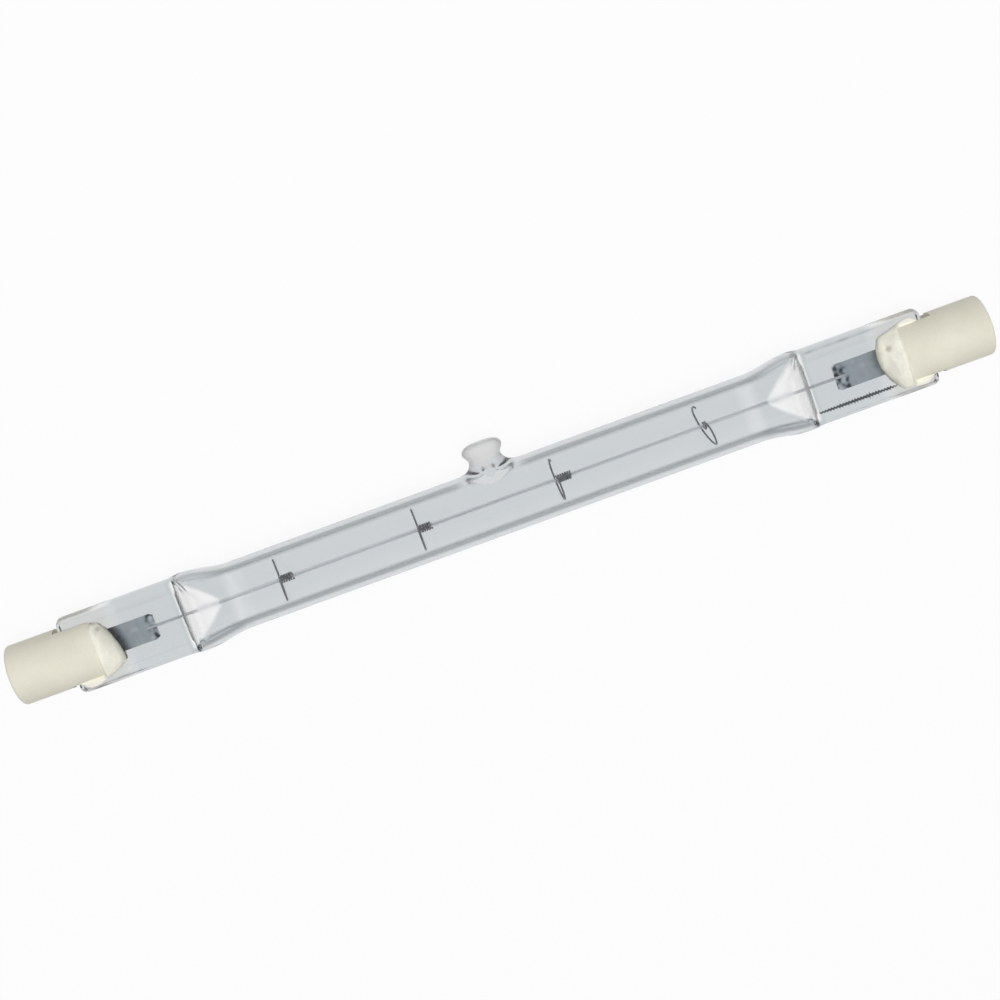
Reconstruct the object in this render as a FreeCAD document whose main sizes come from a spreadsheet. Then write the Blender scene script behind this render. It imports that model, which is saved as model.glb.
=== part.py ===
import FreeCAD, Part
import Sketcher
import math
import os

# Linear halogen lamp with a ceramic cap and a recessed contact at each end.
# The lamp's axis is X, with the exhaust tip in the middle on the +Y side. The flat seals lie in
# the XY plane before the whole lamp is rolled about its axis until it rests on tube and tip.

doc = FreeCAD.newDocument("linear_halogen_lamp")

# Driving sizes in millimetres (angles in degrees, turns as a count).
SIZES = [
    ("overall_length", 117.6, "rim to rim of the two ceramic caps"),
    ("contact_depth", 1.7, "cap rim to the contact face"),
    ("tube_diameter", 8.0, "outside of the quartz tube"),
    ("tube_wall", 0.9, "wall of the quartz tube"),
    ("seal_length_left", 14.2, "closed end of the bore to the end of the glass, left"),
    ("seal_length_right", 14.8, "closed end of the bore to the end of the glass, right"),
    ("bore_slit", 0.24, "height of the bore where it closes"),
    ("swell_length", 6.5, "bore end to the start of the swelling tube"),
    ("swell_peak", 1.0, "bore end to the widest place of the tube"),
    ("swell_width", 9.48, "widest place of the tube, across the seal"),
    ("swell_height", 7.7, "height of the widest place before pressing"),
    ("shoulder_length", 4.4, "bore end to the start of the pressed shoulder"),
    ("shoulder_crest", 0.05, "start of the shoulder above the plain tube"),
    ("shoulder_foot", 0.1, "bore end to the foot of the shoulder"),
    ("seal_settle", 1.2, "bore end to the even width of the seal"),
    ("seal_gap_left", 0.7, "end of the glass to the floor of the cap's slot, left"),
    ("seal_gap_right", 1.1, "end of the glass to the floor of the cap's slot, right"),
    ("seal_width", 9.16, "width of the flat seal"),
    ("seal_corner", 0.6, "bevel of the seal's outer corners"),
    ("rib_thickness", 2.6, "seal thickness at its two edge ribs"),
    ("web_thickness", 2.0, "seal thickness between the ribs"),
    ("web_width", 6.1, "width of the thin web"),
    ("web_ramp", 0.3, "length of the slope from rib height to web height"),
    ("tip_height", 3.2, "exhaust tip above the tube"),
    ("tip_neck_diameter", 3.8, "narrow place of the exhaust tip"),
    ("tip_neck_height", 1.2, "top of the neck above the tube"),
    ("tip_head_diameter", 4.76, "wide place of the exhaust tip"),
    ("tip_head_height", 2.15, "underside of the wide place above the tube"),
    ("tip_head_band", 0.35, "height of the wide place"),
    ("tip_crown_diameter", 3.0, "flat top of the exhaust tip"),
    ("tip_skirt", 0.9, "melted skirt between tip and tube"),
    ("tip_cavity_diameter", 1.1, "hollow of the tip, open to the bore"),
    ("tip_cavity_height", 0.8, "hollow of the tip above the tube"),
    ("foil_inset_left", 3.75, "closed end of the bore to the inner end of the foil, left"),
    ("foil_inset_right", 3.65, "closed end of the bore to the inner end of the foil, right"),
    ("foil_margin", 1.2, "foil's outer end to the end of the glass"),
    ("foil_width", 3.1, "width of the foil"),
    ("foil_thickness", 0.04, "thickness of the foil"),
    ("weld_length", 1.2, "overlap of each lead on the foil"),
    ("weld_flat", 0.14, "lamp axis to the flat of each welded lead"),
    ("inner_lead_diameter", 0.34, "wire from foil to filament"),
    ("inner_lead_reach", 4.2, "bore end to the inner end of that wire"),
    ("filament_reach", 3.0, "bore end to the end of the filament coil"),
    ("filament_diameter", 0.54, "outside of the filament coil"),
    ("filament_wire", 0.08, "tungsten wire of the coil"),
    ("support_wire", 0.24, "wire of the filament supports"),
    ("support_ring", 4.9, "support ring, wire middle to wire middle"),
    ("support_bend", 0.8, "bend between a support's leg and its ring"),
    ("support_end", 0.9, "free end of the ring to the lamp axis, across the leg"),
    ("support_pigtail", 1.6, "length of the pigtail wound on the filament"),
    ("support_clearance", 0.02, "pigtail to filament"),
    ("support_inset_left", 8.3, "left end of the filament to the first support"),
    ("support_middle_left", 9.9, "second support to the lamp middle"),
    ("support_middle_right", 6.9, "lamp middle to the third support"),
    ("support_inset_right", 9.2, "fourth support to the right end of the filament"),
    ("cap_diameter", 7.1, "round ceramic barrel"),
    ("cap_length", 10.5, "length of the ceramic barrel"),
    ("cap_rim_bevel", 0.3, "bevel of the barrel's outer rim"),
    ("cap_nose_bevel", 0.6, "bevel of the barrel's inner rim"),
    ("slot_depth", 4.6, "depth of the slot for the seal"),
    ("slot_clearance", 0.15, "cement layer between slot and seal rib"),
    ("recess_diameter", 3.5, "recess for the lampholder's contact"),
    ("recess_mouth", 0.25, "bevel of the recess mouth"),
    ("contact_diameter", 2.4, "head of the contact button"),
    ("contact_head", 0.8, "thickness of the contact's head"),
    ("contact_crown", 0.2, "bevel round the contact's face"),
    ("contact_stem", 1.6, "diameter of the contact's stem"),
    ("contact_stem_inset", 1.3, "floor of the cap's slot to the end of the contact's stem"),
    ("contact_fit", 0.05, "contact to its hole and seat in the ceramic"),
    ("outer_lead_diameter", 0.6, "wire from foil to contact"),
    ("cement_reach", 2.5, "cement beyond the barrel, over the seal"),
    ("cement_width", 8.0, "cement across the seal"),
    ("cement_nose", 3.4, "width of the round cement nose at its end"),
    ("cement_height", 3.3, "cement above the lamp's plane at the barrel"),
    ("cement_lip", 1.7, "cement above the lamp's plane at its end"),
    ("cement_bead", 1.95, "cement beside the barrel above the lamp's plane"),
    ("cement_shoulder", 0.6, "length of the cement's taper beside the barrel"),
    ("cement_skew_left", 1.5, "slant of the cement's end, left"),
    ("cement_skew_right", 0.9, "slant of the cement's end, right"),
]

sheet = doc.addObject("Spreadsheet::Sheet", "sizes")
for row, (alias, number, meaning) in enumerate(SIZES, 1):
    sheet.set("A%d" % row, meaning)
    sheet.set("B%d" % row, str(number))
    sheet.setAlias("B%d" % row, alias)
doc.recompute()


class Size:
    # A size as text for an expression, with its present value beside it.
    def __init__(self, text, value):
        self.text = text
        self.value = value

    def __add__(self, other):
        return combine(self, "+", other, self.value + as_size(other).value)

    def __sub__(self, other):
        return combine(self, "-", other, self.value - as_size(other).value)

    def __mul__(self, other):
        return combine(self, "*", other, self.value * as_size(other).value)

    def __truediv__(self, other):
        return combine(self, "/", other, self.value / as_size(other).value)

    def __neg__(self):
        return Size("(0 - %s)" % self.text, -self.value)


def as_size(thing):
    return thing if isinstance(thing, Size) else Size(repr(thing), float(thing))


def combine(first, sign, second, value):
    return Size("(%s %s %s)" % (first.text, sign, as_size(second).text), value)


def root(square):
    return Size("sqrt(%s)" % square.text, math.sqrt(square.value))


def size(alias):
    return Size("sizes." + alias, float(sheet.get(alias)))


zero = as_size(0)
tube_radius = size("tube_diameter") / 2
bore_radius = tube_radius - size("tube_wall")
swell_radius = size("swell_width") / 2
swell_half = size("swell_height") / 2
seal_half = size("seal_width") / 2
rib_half = size("rib_thickness") / 2
web_half = size("web_thickness") / 2
cap_radius = size("cap_diameter") / 2
cap_end = size("overall_length") / 2
barrel_inner = cap_end - size("cap_length")
slot_floor = barrel_inner + size("slot_depth")
slot_half = rib_half + size("slot_clearance")
contact_face = cap_end - size("contact_depth")
recess_floor = contact_face - size("contact_head")
stem_end = slot_floor + size("contact_stem_inset")
outer_lead_radius = size("outer_lead_diameter") / 2
filament_radius = size("filament_diameter") / 2
clear_of_part = size("overall_length")

# Roll about the axis at which the head of the tip touches the plane that the tube lies on.
head_radius = size("tip_head_diameter") / 2
head_top = tube_radius + size("tip_head_height") + size("tip_head_band")
head_distance = root(head_top * head_top + head_radius * head_radius)
rest_roll = Size(
    "(asin(%s) - atan(%s))" % ((tube_radius / head_distance).text, (head_radius / head_top).text),
    math.degrees(math.asin(tube_radius.value / head_distance.value)
                 - math.atan(head_radius.value / head_top.value)))


def lay_down(thing, along=zero):
    # Every piece shares the lamp's roll about its axis, and sits at its place along the axis.
    axis = FreeCAD.Vector(-1, 0, 0)
    thing.Placement = FreeCAD.Placement(FreeCAD.Vector(along.value, 0, 0),
                                        FreeCAD.Rotation(axis, rest_roll.value))
    thing.setExpression("Placement.Base.x", along.text)
    thing.setExpression("Placement.Rotation.Angle", rest_roll.text)


def new_body(label, along=zero):
    body = doc.addObject("PartDesign::Body", label)
    body.Label = label
    lay_down(body, along)
    return body


def new_sketch(body, name, plane):
    sketch = body.newObject("Sketcher::SketchObject", name)
    support = [part for part in body.Origin.OriginFeatures if part.Role == plane][0]
    sketch.AttachmentSupport = [(support, "")]
    sketch.MapMode = "FlatFace"
    return sketch


def bind(sketch, constraint, wanted):
    number = sketch.addConstraint(constraint)
    sketch.setExpression("Constraints[%d]" % number, wanted.text)


def pin_point(sketch, edge, end, x, y):
    bind(sketch, Sketcher.Constraint("DistanceX", -1, 1, edge, end, x.value), x)
    bind(sketch, Sketcher.Constraint("DistanceY", -1, 1, edge, end, y.value), y)


def arc_between(start, finish, axis, level):
    # Arc through two points whose centre has one known coordinate.
    (x1, y1), (x2, y2) = start, finish
    total = x2 * x2 - x1 * x1 + y2 * y2 - y1 * y1
    if axis == "x":
        centre = FreeCAD.Vector(level, (total - 2 * level * (x2 - x1)) / (2 * (y2 - y1)), 0)
    else:
        centre = FreeCAD.Vector((total - 2 * level * (y2 - y1)) / (2 * (x2 - x1)), level, 0)
    first = FreeCAD.Vector(x1, y1, 0) - centre
    last = FreeCAD.Vector(x2, y2, 0) - centre
    forward = first.cross(last).z > 0
    if not forward:
        first, last = last, first
    circle = Part.Circle(centre, FreeCAD.Vector(0, 0, 1), first.Length)
    arc = Part.ArcOfCircle(circle, math.atan2(first.y, first.x), math.atan2(last.y, last.x))
    return arc, forward


def draw(sketch, corners, arcs, closed=True):
    # Lines and arcs from corner to corner; arcs gives a side's known centre coordinate.
    count = len(corners) if closed else len(corners) - 1
    ends = []
    for side in range(count):
        start = corners[side]
        finish = corners[(side + 1) % len(corners)]
        begin = (start[0].value, start[1].value)
        stop = (finish[0].value, finish[1].value)
        if side in arcs:
            axis, level = arcs[side]
            curve, forward = arc_between(begin, stop, axis, level.value)
            edge = sketch.addGeometry(curve, False)
            ends.append((edge, 1, 2) if forward else (edge, 2, 1))
        else:
            line = Part.LineSegment(FreeCAD.Vector(*begin, 0), FreeCAD.Vector(*stop, 0))
            ends.append((sketch.addGeometry(line, False), 1, 2))
    for side in range(count):
        edge, first, last = ends[side]
        if closed or side + 1 < count:
            after = ends[(side + 1) % count]
            sketch.addConstraint(Sketcher.Constraint("Coincident", edge, last, after[0], after[1]))
    for side in range(count):
        edge, first, last = ends[side]
        pin_point(sketch, edge, first, *corners[side])
        if side in arcs:
            axis, level = arcs[side]
            kind = "DistanceX" if axis == "x" else "DistanceY"
            bind(sketch, Sketcher.Constraint(kind, -1, 1, edge, 3, level.value), level)
    if not closed:
        pin_point(sketch, ends[-1][0], ends[-1][2], *corners[-1])


class Profile:
    # Corners of an outline in order, with the sides that are arcs.
    def __init__(self):
        self.corners = []
        self.arcs = {}

    def to(self, x, y):
        self.corners.append((x, y))
        return self

    def arc_to(self, x, y, axis, level):
        self.arcs[len(self.corners) - 1] = (axis, level)
        return self.to(x, y)


def sketch_of(body, name, plane, *profiles):
    sketch = new_sketch(body, name, plane)
    for profile in profiles:
        draw(sketch, profile.corners, profile.arcs)
    return sketch


def revolve(body, name, sketch, axis="H_Axis"):
    feature = body.newObject("PartDesign::Revolution", name)
    feature.Profile = sketch
    feature.ReferenceAxis = (sketch, [axis])
    feature.Angle = 360
    return feature


def extrude(body, kind, name, sketch, length):
    # Pad or pocket by the same length to both sides of the sketch.
    feature = body.newObject("PartDesign::" + kind, name)
    feature.Profile = sketch
    feature.Midplane = True
    feature.setExpression("Length", length.text)
    return feature


def rectangle(x1, x2, y1, y2):
    return Profile().to(x1, y1).to(x2, y1).to(x2, y2).to(x1, y2)


def oval(wide, high):
    # Four arcs through the ends of both axes and the points between them; a circle if both are equal.
    share = root(as_size(0.5))
    across = wide * share
    up = high * share
    top = (across * across + (high - up) * (high - up)) / (high - up) / 2
    side = (up * up + (wide - across) * (wide - across)) / (wide - across) / 2
    shape = Profile()
    shape.to(across, up)
    shape.arc_to(-across, up, "y", high - top)
    shape.arc_to(-across, -up, "x", side - wide)
    shape.arc_to(across, -up, "y", top - high)
    shape.arcs[len(shape.corners) - 1] = ("x", wide - side)
    return shape


def loft(body, name, stations):
    # Straight-drawn skin over oval sections at their places along the lamp's axis.
    sketches = []
    for number, (place, wide, high) in enumerate(stations):
        sketch = sketch_of(body, "%s_%d" % (name, number), "YZ_Plane", oval(wide, high))
        sketch.AttachmentOffset = FreeCAD.Placement(FreeCAD.Vector(0, 0, place.value), FreeCAD.Rotation())
        sketch.setExpression("AttachmentOffset.Base.z", place.text)
        sketches.append(sketch)
    feature = body.newObject("PartDesign::AdditiveLoft", name)
    feature.Profile = sketches[0]
    feature.Sections = [(sketch, [""]) for sketch in sketches[1:]]
    feature.Ruled = True
    return feature


class End:
    # One end of the lamp: its sign along X and the sizes that differ from end to end.
    def __init__(self, side, sign):
        self.side = side
        self.sign = as_size(sign)
        self.seal_end = slot_floor - size("seal_gap_" + side)
        self.bore_end = self.seal_end - size("seal_length_" + side)
        self.foil_inner = self.bore_end + size("foil_inset_" + side)
        self.foil_outer = self.seal_end - size("foil_margin")
        self.skew = size("cement_skew_" + side)
        self.filament_end = self.bore_end - size("filament_reach")

    def at(self, distance):
        return self.sign * distance


left = End("left", -1)
right = End("right", 1)


def seal_stations(end):
    # The tube widens towards the seal, settles to the seal's width and ends in bevelled corners.
    corner = size("seal_corner")
    return [(end.at(end.bore_end - size("swell_length")), tube_radius, tube_radius),
            (end.at(end.bore_end - size("swell_peak")), swell_radius, swell_half),
            (end.at(end.bore_end + size("seal_settle")), seal_half, swell_half),
            (end.at(end.seal_end - corner), seal_half, swell_half),
            (end.at(end.seal_end), seal_half - corner, swell_half)]


def press_waste(end, up):
    # What the press takes away on one face of one end, seen from the edge of the seal.
    rise = as_size(up)
    start = end.bore_end - size("shoulder_length")
    foot = end.bore_end + size("shoulder_foot")
    crest = tube_radius + size("shoulder_crest")
    beyond = end.seal_end + size("tube_wall")
    shape = Profile()
    shape.to(end.at(start), rise * crest)
    shape.arc_to(end.at(foot), rise * rib_half, "x", end.at(start))
    shape.to(end.at(beyond), rise * rib_half)
    shape.to(end.at(beyond), rise * swell_radius * 2)
    shape.to(end.at(start), rise * swell_radius * 2)
    return shape


def web_waste(end, up):
    # The shallow panel between the two ribs of a seal.
    rise = as_size(up)
    foot = end.bore_end + size("shoulder_foot")
    beyond = end.seal_end + size("tube_wall")
    shape = Profile()
    shape.to(end.at(foot), rise * rib_half)
    shape.to(end.at(foot + size("web_ramp")), rise * web_half)
    shape.to(end.at(beyond), rise * web_half)
    shape.to(end.at(beyond), rise * tube_radius)
    shape.to(end.at(foot), rise * tube_radius)
    return shape


def four_wastes(make):
    return [make(end, up) for end in (left, right) for up in (1, -1)]


def tip_profile():
    # Half of the exhaust tip, from the lamp's axis to its melted head.
    neck = size("tip_neck_diameter") / 2
    crown = size("tip_crown_diameter") / 2
    top = tube_radius + size("tip_height")
    slope = root(as_size(0.5))
    shape = Profile()
    shape.to(zero, zero).to(neck, zero)
    shape.to(neck, tube_radius + size("tip_neck_height"))
    shape.to(head_radius, tube_radius + size("tip_head_height"))
    shape.to(head_radius, head_top)
    shape.to(crown + (head_radius - crown) * slope, head_top + (top - head_top) * slope)
    shape.to(crown, top).to(zero, top)
    return shape


blank = new_body("glass_blank")
plain_tube = rectangle(left.at(left.bore_end - size("swell_length")),
                       right.at(right.bore_end - size("swell_length")), zero, tube_radius)
revolve(blank, "glass_round", sketch_of(blank, "glass_outline", "XY_Plane", plain_tube))
for end in (left, right):
    loft(blank, "glass_seal_" + end.side, seal_stations(end))
extrude(blank, "Pocket", "glass_press",
        sketch_of(blank, "press_outline", "XZ_Plane", *four_wastes(press_waste)), clear_of_part)
extrude(blank, "Pocket", "glass_web",
        sketch_of(blank, "web_outline", "XZ_Plane", *four_wastes(web_waste)), size("web_width"))
tip = revolve(blank, "glass_tip", sketch_of(blank, "tip_outline", "XY_Plane", tip_profile()), "V_Axis")
doc.recompute()


def edges_where(feature, test):
    return ["Edge%d" % number for number, edge in enumerate(feature.Shape.Edges, 1) if test(edge)]


def bevel_edges(body, name, base, edges, width):
    feature = body.newObject("PartDesign::Chamfer", name)
    feature.Base = (base, edges)
    feature.setExpression("Size", width.text)
    return feature


def at_tip_root(edge):
    # The closed line where the neck of the tip leaves the tube.
    box = edge.BoundBox
    inside = max(abs(box.XMin), abs(box.XMax)) < size("tip_neck_diameter").value
    return inside and box.YMax < tube_radius.value * 1.01 and box.YMin > bore_radius.value


bevel_edges(blank, "tip_melt", tip, edges_where(tip, at_tip_root), size("tip_skirt"))


def bore_outline():
    # Half of the bore before pressing: it widens with the tube towards both ends.
    peak = swell_radius - size("tube_wall")
    shape = Profile()
    shape.to(left.at(left.bore_end), zero).to(left.at(left.bore_end), peak)
    shape.to(left.at(left.bore_end - size("swell_length")), bore_radius)
    shape.to(right.at(right.bore_end - size("swell_length")), bore_radius)
    shape.to(right.at(right.bore_end), peak).to(right.at(right.bore_end), zero)
    return shape


def bore_waste(end, up):
    # The pressed shoulder of the bore: no higher than the tube's bore, then closing to a slit.
    rise = as_size(up)
    flare = end.bore_end - size("swell_length")
    start = end.bore_end - size("shoulder_length")
    crest = bore_radius + size("shoulder_crest")
    beyond = end.bore_end + size("tube_wall")
    shape = Profile()
    shape.to(end.at(flare), rise * crest).to(end.at(start), rise * crest)
    shape.arc_to(end.at(end.bore_end), rise * size("bore_slit") / 2, "x", end.at(start))
    shape.to(end.at(beyond), rise * size("bore_slit") / 2)
    shape.to(end.at(beyond), rise * swell_radius * 2)
    shape.to(end.at(flare), rise * swell_radius * 2)
    return shape


def cavity_profile():
    # Half of the hollow that the sealed exhaust tube leaves in the tip.
    return rectangle(zero, size("tip_cavity_diameter") / 2, zero,
                     tube_radius + size("tip_cavity_height"))


bore = new_body("glass_bore")
revolve(bore, "bore_round", sketch_of(bore, "bore_outline", "XY_Plane", bore_outline()))
extrude(bore, "Pocket", "bore_press",
        sketch_of(bore, "bore_press_outline", "XZ_Plane", *four_wastes(bore_waste)), clear_of_part)
revolve(bore, "bore_tip", sketch_of(bore, "cavity_outline", "XY_Plane", cavity_profile()), "V_Axis")


def make_lead(label, end, inner, outer, radius, weld_start, weld_end):
    # Round wire along the axis, pressed flat on one side where it is welded to the foil.
    body = new_body(label)
    revolve(body, label + "_round", sketch_of(body, label + "_outline", "XY_Plane",
            rectangle(end.at(inner), end.at(outer), zero, radius)))
    flat = -size("weld_flat")
    waste = rectangle(end.at(weld_start), end.at(weld_end), flat, -(radius * 2))
    extrude(body, "Pocket", label + "_flat",
            sketch_of(body, label + "_waste", "XZ_Plane", waste), radius * 3)
    return body


def make_foil(end):
    label = "seal_foil_" + end.side
    body = new_body(label)
    top = -size("weld_flat")
    section = rectangle(end.at(end.foil_inner), end.at(end.foil_outer),
                        top - size("foil_thickness"), top)
    extrude(body, "Pad", label + "_strip",
            sketch_of(body, label + "_section", "XZ_Plane", section), size("foil_width"))
    return body


def make_contact(end):
    # Button on the recess floor, with a stem that the outer lead is welded to.
    label = "contact_button_" + end.side
    body = new_body(label)
    head = size("contact_diameter") / 2
    stem = size("contact_stem") / 2
    crown = size("contact_crown")
    shape = Profile()
    shape.to(end.at(contact_face), zero).to(end.at(contact_face), head - crown)
    shape.to(end.at(contact_face - crown), head)
    shape.to(end.at(recess_floor), head).to(end.at(recess_floor), stem)
    shape.to(end.at(stem_end), stem).to(end.at(stem_end), zero)
    revolve(body, label + "_turned", sketch_of(body, label + "_section", "XY_Plane", shape))
    return body


def make_cap(end):
    # Barrel with a contact recess, a seat and a stem hole for the contact, and a slot for the seal.
    label = "ceramic_cap_" + end.side
    body = new_body(label)
    hole = size("contact_stem") / 2 + size("contact_fit")
    seat = size("contact_diameter") / 2 + size("contact_fit")
    recess = size("recess_diameter") / 2
    mouth = size("recess_mouth")
    rim = size("cap_rim_bevel")
    nose = size("cap_nose_bevel")
    shape = Profile()
    shape.to(end.at(barrel_inner), hole).to(end.at(barrel_inner), cap_radius - nose)
    shape.to(end.at(barrel_inner + nose), cap_radius)
    shape.to(end.at(cap_end - rim), cap_radius)
    shape.to(end.at(cap_end), cap_radius - rim)
    shape.to(end.at(cap_end), recess + mouth)
    shape.to(end.at(cap_end - mouth), recess)
    shape.to(end.at(contact_face), recess).to(end.at(contact_face), seat)
    shape.to(end.at(recess_floor), seat).to(end.at(recess_floor), hole)
    revolve(body, label + "_barrel", sketch_of(body, label + "_section", "XY_Plane", shape))
    slot = rectangle(end.at(barrel_inner - nose), end.at(slot_floor), -slot_half, slot_half)
    extrude(body, "Pocket", label + "_slot",
            sketch_of(body, label + "_slot_section", "XZ_Plane", slot), cap_radius * 3)
    return body


def cement_outline(end):
    # Half of the cement seen face on: slot filling, bead beside the barrel, blunt nose.
    half = size("cement_width") / 2
    nose = size("cement_nose") / 2
    inner = barrel_inner - size("cement_reach")
    taper = size("cement_shoulder")
    shape = Profile()
    shape.to(end.at(inner), zero).to(end.at(inner), nose)
    shape.to(end.at(barrel_inner), half)
    shape.to(end.at(end.seal_end - taper), half)
    shape.to(end.at(slot_floor), cap_radius - taper)
    shape.to(end.at(slot_floor), zero)
    return shape


def cement_top(end, up):
    # Cement is lowest beside the barrel, highest at the barrel's mouth, and slopes to its lip.
    rise = as_size(up)
    inner = barrel_inner - size("cement_reach")
    roof = size("cement_width")
    shape = Profile()
    shape.to(end.at(inner - size("cement_shoulder")), rise * size("cement_lip"))
    shape.to(end.at(inner), rise * size("cement_lip"))
    shape.arc_to(end.at(barrel_inner), rise * size("cement_height"), "x", end.at(barrel_inner))
    shape.to(end.at(barrel_inner + size("cap_nose_bevel")), rise * size("cement_height"))
    shape.to(end.at(barrel_inner + size("cap_nose_bevel") * 2), rise * size("cement_bead"))
    shape.to(end.at(slot_floor + size("cement_shoulder")), rise * size("cement_bead"))
    shape.to(end.at(slot_floor + size("cement_shoulder")), rise * roof)
    shape.to(end.at(inner - size("cement_shoulder")), rise * roof)
    return shape


def cement_slant(end):
    # The blunt end is not square: one corner of the nose is drawn back.
    half = size("cement_width") / 2
    inner = barrel_inner - size("cement_reach")
    before = inner - size("cement_shoulder")
    return Profile().to(end.at(before), end.at(-half)).to(
        end.at(inner), end.at(-size("cement_nose")) / 2).to(
        end.at(inner + end.skew), end.at(-half)).to(
        end.at(inner + end.skew), end.at(-(half * 2))).to(end.at(before), end.at(-(half * 2)))


def cut(label, base, tools):
    # A piece shaped by its neighbours: what they fill is taken out of it.
    joined = doc.addObject("Part::MultiFuse", label + "_tools")
    joined.Shapes = tools
    result = doc.addObject("Part::Cut", label)
    result.Label = label
    result.Base = base
    result.Tool = joined
    return result


def make_cement(end, cap, lead):
    label = "cap_cement_" + end.side
    body = new_body(label + "_mass")
    revolve(body, label + "_round", sketch_of(body, label + "_outline", "XY_Plane", cement_outline(end)))
    extrude(body, "Pocket", label + "_top",
            sketch_of(body, label + "_side", "XZ_Plane", cement_top(end, 1), cement_top(end, -1)),
            size("cement_width") * 2)
    extrude(body, "Pocket", label + "_slant",
            sketch_of(body, label + "_end", "XY_Plane", cement_slant(end)), size("cement_width") * 2)
    return cut(label, body, [cap, blank, lead])


pieces = []
tools = [bore]
for end in (left, right):
    cap = make_cap(end)
    contact = make_contact(end)
    foil = make_foil(end)
    inner_lead = make_lead("inner_lead_" + end.side, end,
                           end.bore_end - size("inner_lead_reach"), end.foil_inner + size("weld_length"),
                           size("inner_lead_diameter") / 2, end.foil_inner,
                           end.foil_inner + size("weld_length") * 2)
    outer_lead = make_lead("outer_lead_" + end.side, end,
                           end.foil_outer - size("weld_length"), stem_end, outer_lead_radius,
                           end.foil_outer - size("weld_length") * 2, end.foil_outer)
    cement = make_cement(end, cap, outer_lead)
    pieces += [cap, contact, foil, inner_lead, outer_lead, cement]
    tools += [foil, inner_lead, outer_lead]

envelope = cut("quartz_envelope", blank, tools)
pieces.append(envelope)

filament = new_body("filament")
revolve(filament, "filament_coil", sketch_of(filament, "filament_section", "XY_Plane", rectangle(
    left.at(left.filament_end), right.at(right.filament_end),
    filament_radius - size("filament_wire"), filament_radius)))
pieces.append(filament)


def make_support(number, place):
    # One wire: a pigtail wound on the filament, a leg that leaves it, a bend and an open ring.
    # The wire is finer than a pin: its section is drawn square and its close turns as one sleeve.
    label = "filament_support_%d" % number
    body = new_body(label, place)
    wire = size("support_wire") / 2
    ring = size("support_ring") / 2
    bend = size("support_bend")
    coil = filament_radius + size("support_clearance") + wire
    side = coil + size("support_clearance")
    square = rectangle(-wire, wire, side - wire, side + wire)
    section = sketch_of(body, label + "_section", "XY_Plane", square)
    reach = ring - bend
    bend_place = side - bend
    leg = root(reach * reach - bend_place * bend_place)
    start = size("support_end")
    path = Profile()
    path.to(side, zero).to(side, leg)
    path.arc_to(bend_place * ring / reach, leg * ring / reach, "y", leg)
    path.arc_to(-ring, zero, "y", zero)
    path.arc_to(zero, -ring, "y", zero)
    path.arc_to(ring, zero, "y", zero)
    path.arc_to(root(ring * ring - start * start), start, "y", zero)
    route = new_sketch(body, label + "_route", "YZ_Plane")
    draw(route, path.corners, path.arcs, closed=False)
    pipe = body.newObject("PartDesign::AdditivePipe", label + "_ring")
    pipe.Profile = section
    pipe.Spine = (route, [])
    sleeve = rectangle(-wire, size("support_pigtail") - wire, coil - wire, coil + wire)
    revolve(body, label + "_pigtail", sketch_of(body, label + "_turns", "XY_Plane", sleeve))
    return body


support_places = [left.at(left.filament_end - size("support_inset_left")),
                  left.at(size("support_middle_left")), right.at(size("support_middle_right")),
                  right.at(right.filament_end - size("support_inset_right"))]
for number, place in enumerate(support_places, 1):
    pieces.append(make_support(number, place))

doc.recompute()

faults = [thing.Label for thing in doc.Objects if "Invalid" in thing.State or "Error" in thing.State]
faults += [piece.Label for piece in pieces if piece.Shape.isNull() or not piece.Shape.isValid()]
faults += [piece.Label for piece in pieces if len(piece.Shape.Solids) != 1]
if faults:
    raise RuntimeError("pieces that did not build: " + ", ".join(faults))

os.makedirs("parts", exist_ok=True)
for piece in pieces:
    piece.Shape.exportStep("parts/%s.step" % piece.Label)
    print("%-22s %9.3f mm3" % (piece.Label, piece.Shape.Volume))
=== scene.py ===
import bpy
import bmesh
import math
from mathutils import Matrix, Vector, noise


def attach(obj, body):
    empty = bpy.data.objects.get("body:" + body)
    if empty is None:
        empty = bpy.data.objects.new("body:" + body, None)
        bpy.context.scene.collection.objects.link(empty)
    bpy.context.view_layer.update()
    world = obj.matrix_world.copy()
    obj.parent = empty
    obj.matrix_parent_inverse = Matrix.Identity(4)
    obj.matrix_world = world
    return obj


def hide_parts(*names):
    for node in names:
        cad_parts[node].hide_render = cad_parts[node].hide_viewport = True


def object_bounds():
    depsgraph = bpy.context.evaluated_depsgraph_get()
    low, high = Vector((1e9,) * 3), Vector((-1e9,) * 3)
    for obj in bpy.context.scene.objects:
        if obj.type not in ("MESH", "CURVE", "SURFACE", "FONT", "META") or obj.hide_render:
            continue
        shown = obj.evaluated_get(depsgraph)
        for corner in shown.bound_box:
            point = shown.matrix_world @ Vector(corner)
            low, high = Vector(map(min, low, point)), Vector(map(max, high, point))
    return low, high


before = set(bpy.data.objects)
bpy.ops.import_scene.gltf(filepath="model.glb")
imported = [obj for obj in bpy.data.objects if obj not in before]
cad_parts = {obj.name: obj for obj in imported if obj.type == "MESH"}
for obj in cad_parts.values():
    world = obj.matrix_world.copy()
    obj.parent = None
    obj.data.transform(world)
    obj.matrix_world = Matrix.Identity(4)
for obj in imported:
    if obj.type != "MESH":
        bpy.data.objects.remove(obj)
cadLow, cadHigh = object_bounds()
mm = 0.001
bothEnds = ((-1, "left"), (1, "right"))  # side along the axis, and the word in the nodes' names

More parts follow.
